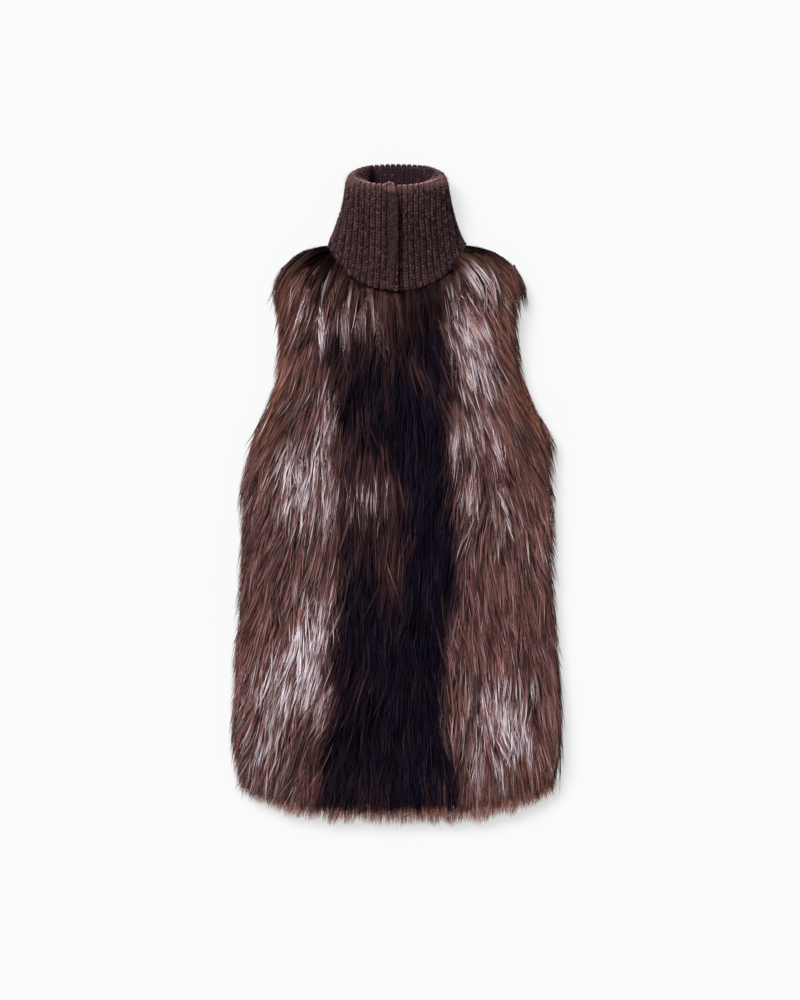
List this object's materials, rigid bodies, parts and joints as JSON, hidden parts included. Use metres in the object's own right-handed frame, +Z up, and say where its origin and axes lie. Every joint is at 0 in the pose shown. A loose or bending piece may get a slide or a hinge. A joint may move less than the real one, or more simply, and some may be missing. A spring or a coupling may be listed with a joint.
{
  "type": "long-haired fur vest with a ribbed knit collar, laid flat",
  "caption": "Sleeveless front-opening fur vest with a tall ribbed knit collar, lying flat on its back, front up.",
  "frame": {"origin": "on the surface that the vest lies on, under the middle of its outline seen from above", "axes": "+Z up out of the front, +Y along the vest from hem to collar, +X towards the wearer's left"},
  "size_m": [0.472, 0.939, 0.0801],
  "materials": {
    "front_fur": "long-haired fur, dark brown with silvered tips",
    "back_fur": "long-haired fur, dark brown",
    "collar_knit": "rib knit in a hairy dark brown yarn",
    "band_knit": "fine plain knit in the same yarn"
  },
  "bodies": {
    "root": {"front_right": "front_fur", "front_left": "front_fur", "back": "back_fur", "collar": "collar_knit", "collar_band": "band_knit"}
  },
  "joints": []
}
